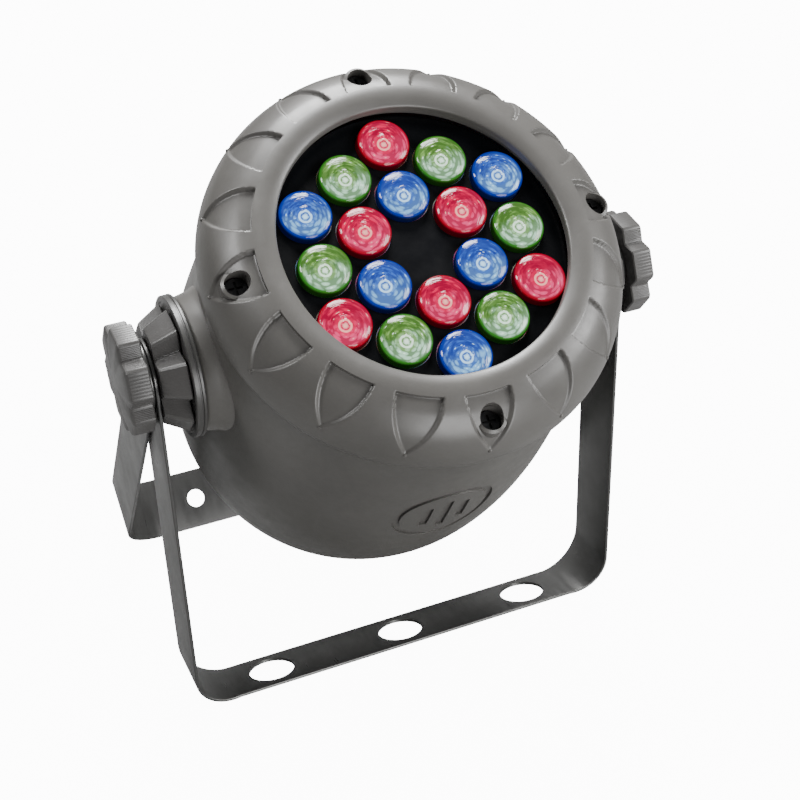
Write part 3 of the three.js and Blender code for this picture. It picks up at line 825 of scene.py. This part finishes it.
def strap_stations(half_width, length, steps=20):
    """Down one arm, round the bend, along the bar and up: (x, z, angle of the path, share of the twist)."""
    left = [(-half_width, z, 0.0, 0.0) for z in np.linspace(0, -(length - STRIP_BEND), 12, endpoint=False)]
    for i in range(steps + 1):
        share = i / steps
        angle = share * math.pi / 2
        x = -half_width + STRIP_BEND * (1 - math.cos(angle))
        z = -length + STRIP_BEND * (1 - math.sin(angle))
        left.append((x, z, angle, share))
    span = -left[-1][0]
    bar = [(x, -length, math.pi / 2, 1.0) for x in np.linspace(-span, span, 16)[1:-1]]
    right = [(-x, z, math.pi - angle, share) for x, z, angle, share in reversed(left)]
    return left + bar + right


def strip_section():
    """The strip's outline across its width, with rounded edges: (across, through)."""
    w, t, r = STRIP_WIDTH / 2, STRIP_THICKNESS / 2, 0.4
    corners = [(w, t, 0), (-w, t, 90), (-w, -t, 180), (w, -t, 270)]
    outline = []
    for x, y, start in corners:
        cx, cy = x - math.copysign(r, x), y - math.copysign(r, y)
        for step in range(4):
            a = math.radians(start + 30 * step)
            outline.append((cx + r * math.cos(a), cy + r * math.sin(a)))
    return outline


def make_bracket(node, name, arm_face, length, lean, twist, holes):
    half = arm_face - STRIP_THICKNESS / 2
    section = strip_section()
    points = []
    stations = strap_stations(half, length)
    for x, z, angle, share in stations:
        along = Vector((math.sin(angle), 0, -math.cos(angle)))
        across = Vector((0, -math.cos(twist * share), math.sin(twist * share)))
        across = (across - along * across.dot(along)).normalized()
        through = along.cross(across)
        for u, v in section:
            points.append(Vector((x, 0, z)) + across * u + through * v)
    count = len(section)
    faces = grid_faces(len(stations), count, False, True)
    faces.append(tuple(range(count)))
    faces.append(tuple(range((len(stations) - 1) * count, len(stations) * count)))
    place = Matrix.Translation(PIVOT) @ Matrix.Rotation(lean, 4, "X")
    strap = make_object(name, points, faces, place, 30)
    t = STRIP_THICKNESS / 2
    for side in (-1, 1):
        eye = rounded([(0, -t), (STRIP_WIDTH / 2, -t), (STRIP_WIDTH / 2, t), (0, t)], 0.4, 4)
        turn = Matrix.Translation(Vector((side * half, 0, 0)) * MM) @ Matrix.Rotation(math.pi / 2, 4, "Y")
        join(strap, lathe("eye", eye, 96, place @ turn))
    cutters = []
    for side in (-1, 1):
        turn = Matrix.Translation(Vector((side * half, 0, 0)) * MM) @ Matrix.Rotation(math.pi / 2, 4, "Y")
        cutters.append(rod("cut", BOLT_HOLE, -4, 4, place @ turn))
    for i, radius in enumerate(holes):
        middle = Matrix.Translation(Vector(((i - 1) * BAR_HOLE_X, 0, -length)) * MM)
        spot = middle @ Matrix.Rotation(-twist, 4, "X")
        cutters.append(rod("cut", radius, -4, 4, place @ spot, 72))
    carve(strap, cutters, 30)
    put(strap, node, BRACKET)


def join(obj, other):
    modifier = obj.modifiers.new("join", "BOOLEAN")
    modifier.operation = "UNION"
    modifier.solver = "EXACT"
    modifier.object = other
    graph = bpy.context.evaluated_depsgraph_get()
    obj.data = bpy.data.meshes.new_from_object(obj.evaluated_get(graph))
    obj.modifiers.clear()
    bpy.data.objects.remove(other)


def rear_length():
    """The rear bar reaches the same floor as the front one."""
    slope = abs(REAR["lean"]) + abs(REAR["twist"])
    edge = STRIP_WIDTH / 2 * math.sin(slope) + STRIP_THICKNESS / 2 * math.cos(slope)
    return (PIVOT.z / MM - edge) / math.cos(REAR["lean"])


def make_brackets():
    front_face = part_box("front_bracket")[1].x / MM
    rear_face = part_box("rear_bracket")[1].x / MM
    make_bracket("front_bracket", "front_bracket_look", front_face, **FRONT)
    make_bracket("rear_bracket", "rear_bracket_look", rear_face, length=rear_length(), **REAR)


# ---------------------------------------------------------------- CAD nodes shown as they are

PLAIN_NODES = {
    "led_board": LED_BOARD, "driver_board": BOARD, "control_board": BOARD, "heat_sink": ALUMINIUM,
    "rear_panel": REAR_METAL, "power_inlet": SOCKET, "dmx_in_socket": SOCKET, "dmx_out_socket": SOCKET,
    "dmx_latch": STEEL, "display_window": DISPLAY, "right_captive_nut": STEEL, "left_captive_nut": STEEL,
}


def dress_plain_nodes():
    for node, obj in frame["nodes"].items():
        material = PLAIN_NODES.get(node)
        if "screw" in node:
            material = BLACK_SCREW
        if node.endswith("_button"):
            material = RUBBER
        if material is None:
            continue
        obj.data.materials.clear()
        obj.data.materials.append(material)
        shade(obj, 30)
        if node not in ("led_board", "driver_board", "heat_sink"):
            bevel(obj, 0.2)


# ---------------------------------------------------------------- stage, light and camera

def make_stage():
    """A plain pale floor, as bright as paper to the eye but with little glow of its own on the lamp."""
    bpy.ops.mesh.primitive_plane_add(size=8)
    floor = bpy.context.object
    floor.name = "floor"
    shader = Shader("floor")
    tone = shader.ramp(shader.noise(3.0), (0.3, (0.2, 0.2, 0.2)), (0.7, (0.21, 0.21, 0.21)))
    shader.link(tone, "Base Color")
    seen = shader.node("ShaderNodeLightPath").outputs["Is Camera Ray"]
    shader.link(shader.math("MULTIPLY", seen, FLOOR_GLOW), "Emission Strength")
    shader.set(Roughness=0.9, Emission_Color=(1, 1, 1, 1))
    floor.data.materials.append(shader.material)


def area_light(name, place, target, size, power):
    data = bpy.data.lights.new(name, "AREA")
    data.shape = "DISK"
    data.size = size
    data.energy = power
    lamp = bpy.data.objects.new(name, data)
    bpy.context.scene.collection.objects.link(lamp)
    lamp.location = place
    lamp.rotation_mode = "QUATERNION"
    lamp.rotation_quaternion = (Vector(target) - Vector(place)).to_track_quat("-Z", "Y")


def make_light():
    world = bpy.data.worlds.new("studio")
    bpy.context.scene.world = world
    world.use_nodes = True
    background = world.node_tree.nodes["Background"]
    background.inputs["Color"].default_value = (1, 1, 1, 1)
    seen = world.node_tree.nodes.new("ShaderNodeLightPath")
    strength = world.node_tree.nodes.new("ShaderNodeMapRange")
    strength.inputs["To Min"].default_value = AMBIENT
    strength.inputs["To Max"].default_value = FLOOR_GLOW
    world.node_tree.links.new(seen.outputs["Is Camera Ray"], strength.inputs["Value"])
    world.node_tree.links.new(strength.outputs["Result"], background.inputs["Strength"])
    area_light("top", (0.25, 0.85, 1.2), PIVOT, 0.7, 52)
    area_light("right", (1.25, -0.6, 0.85), PIVOT, 0.7, 26)
    area_light("front", (0.25, -1.5, 0.35), PIVOT, 0.9, 22)
    area_light("left", (-1.0, 0.35, 1.3), PIVOT, 0.4, 16)


def make_camera():
    data = bpy.data.cameras.new("camera")
    data.lens = CAMERA_LENS
    data.sensor_width = 36
    data.clip_start = 0.01
    camera = bpy.data.objects.new("camera", data)
    bpy.context.scene.collection.objects.link(camera)
    right = Vector(CAMERA_RIGHT).normalized()
    up = -Vector(CAMERA_DOWN)
    up = (up - right * up.dot(right)).normalized()
    back = right.cross(up)
    turn = Matrix((right, up, back)).transposed().to_4x4()
    camera.matrix_world = Matrix.Translation(PIVOT + Vector(CAMERA_FROM_PIVOT) * MM) @ turn
    bpy.context.scene.camera = camera


make_camera()
make_stage()
make_light()
make_head()
make_stack(1)
make_stack(-1)
make_brackets()
dress_plain_nodes()
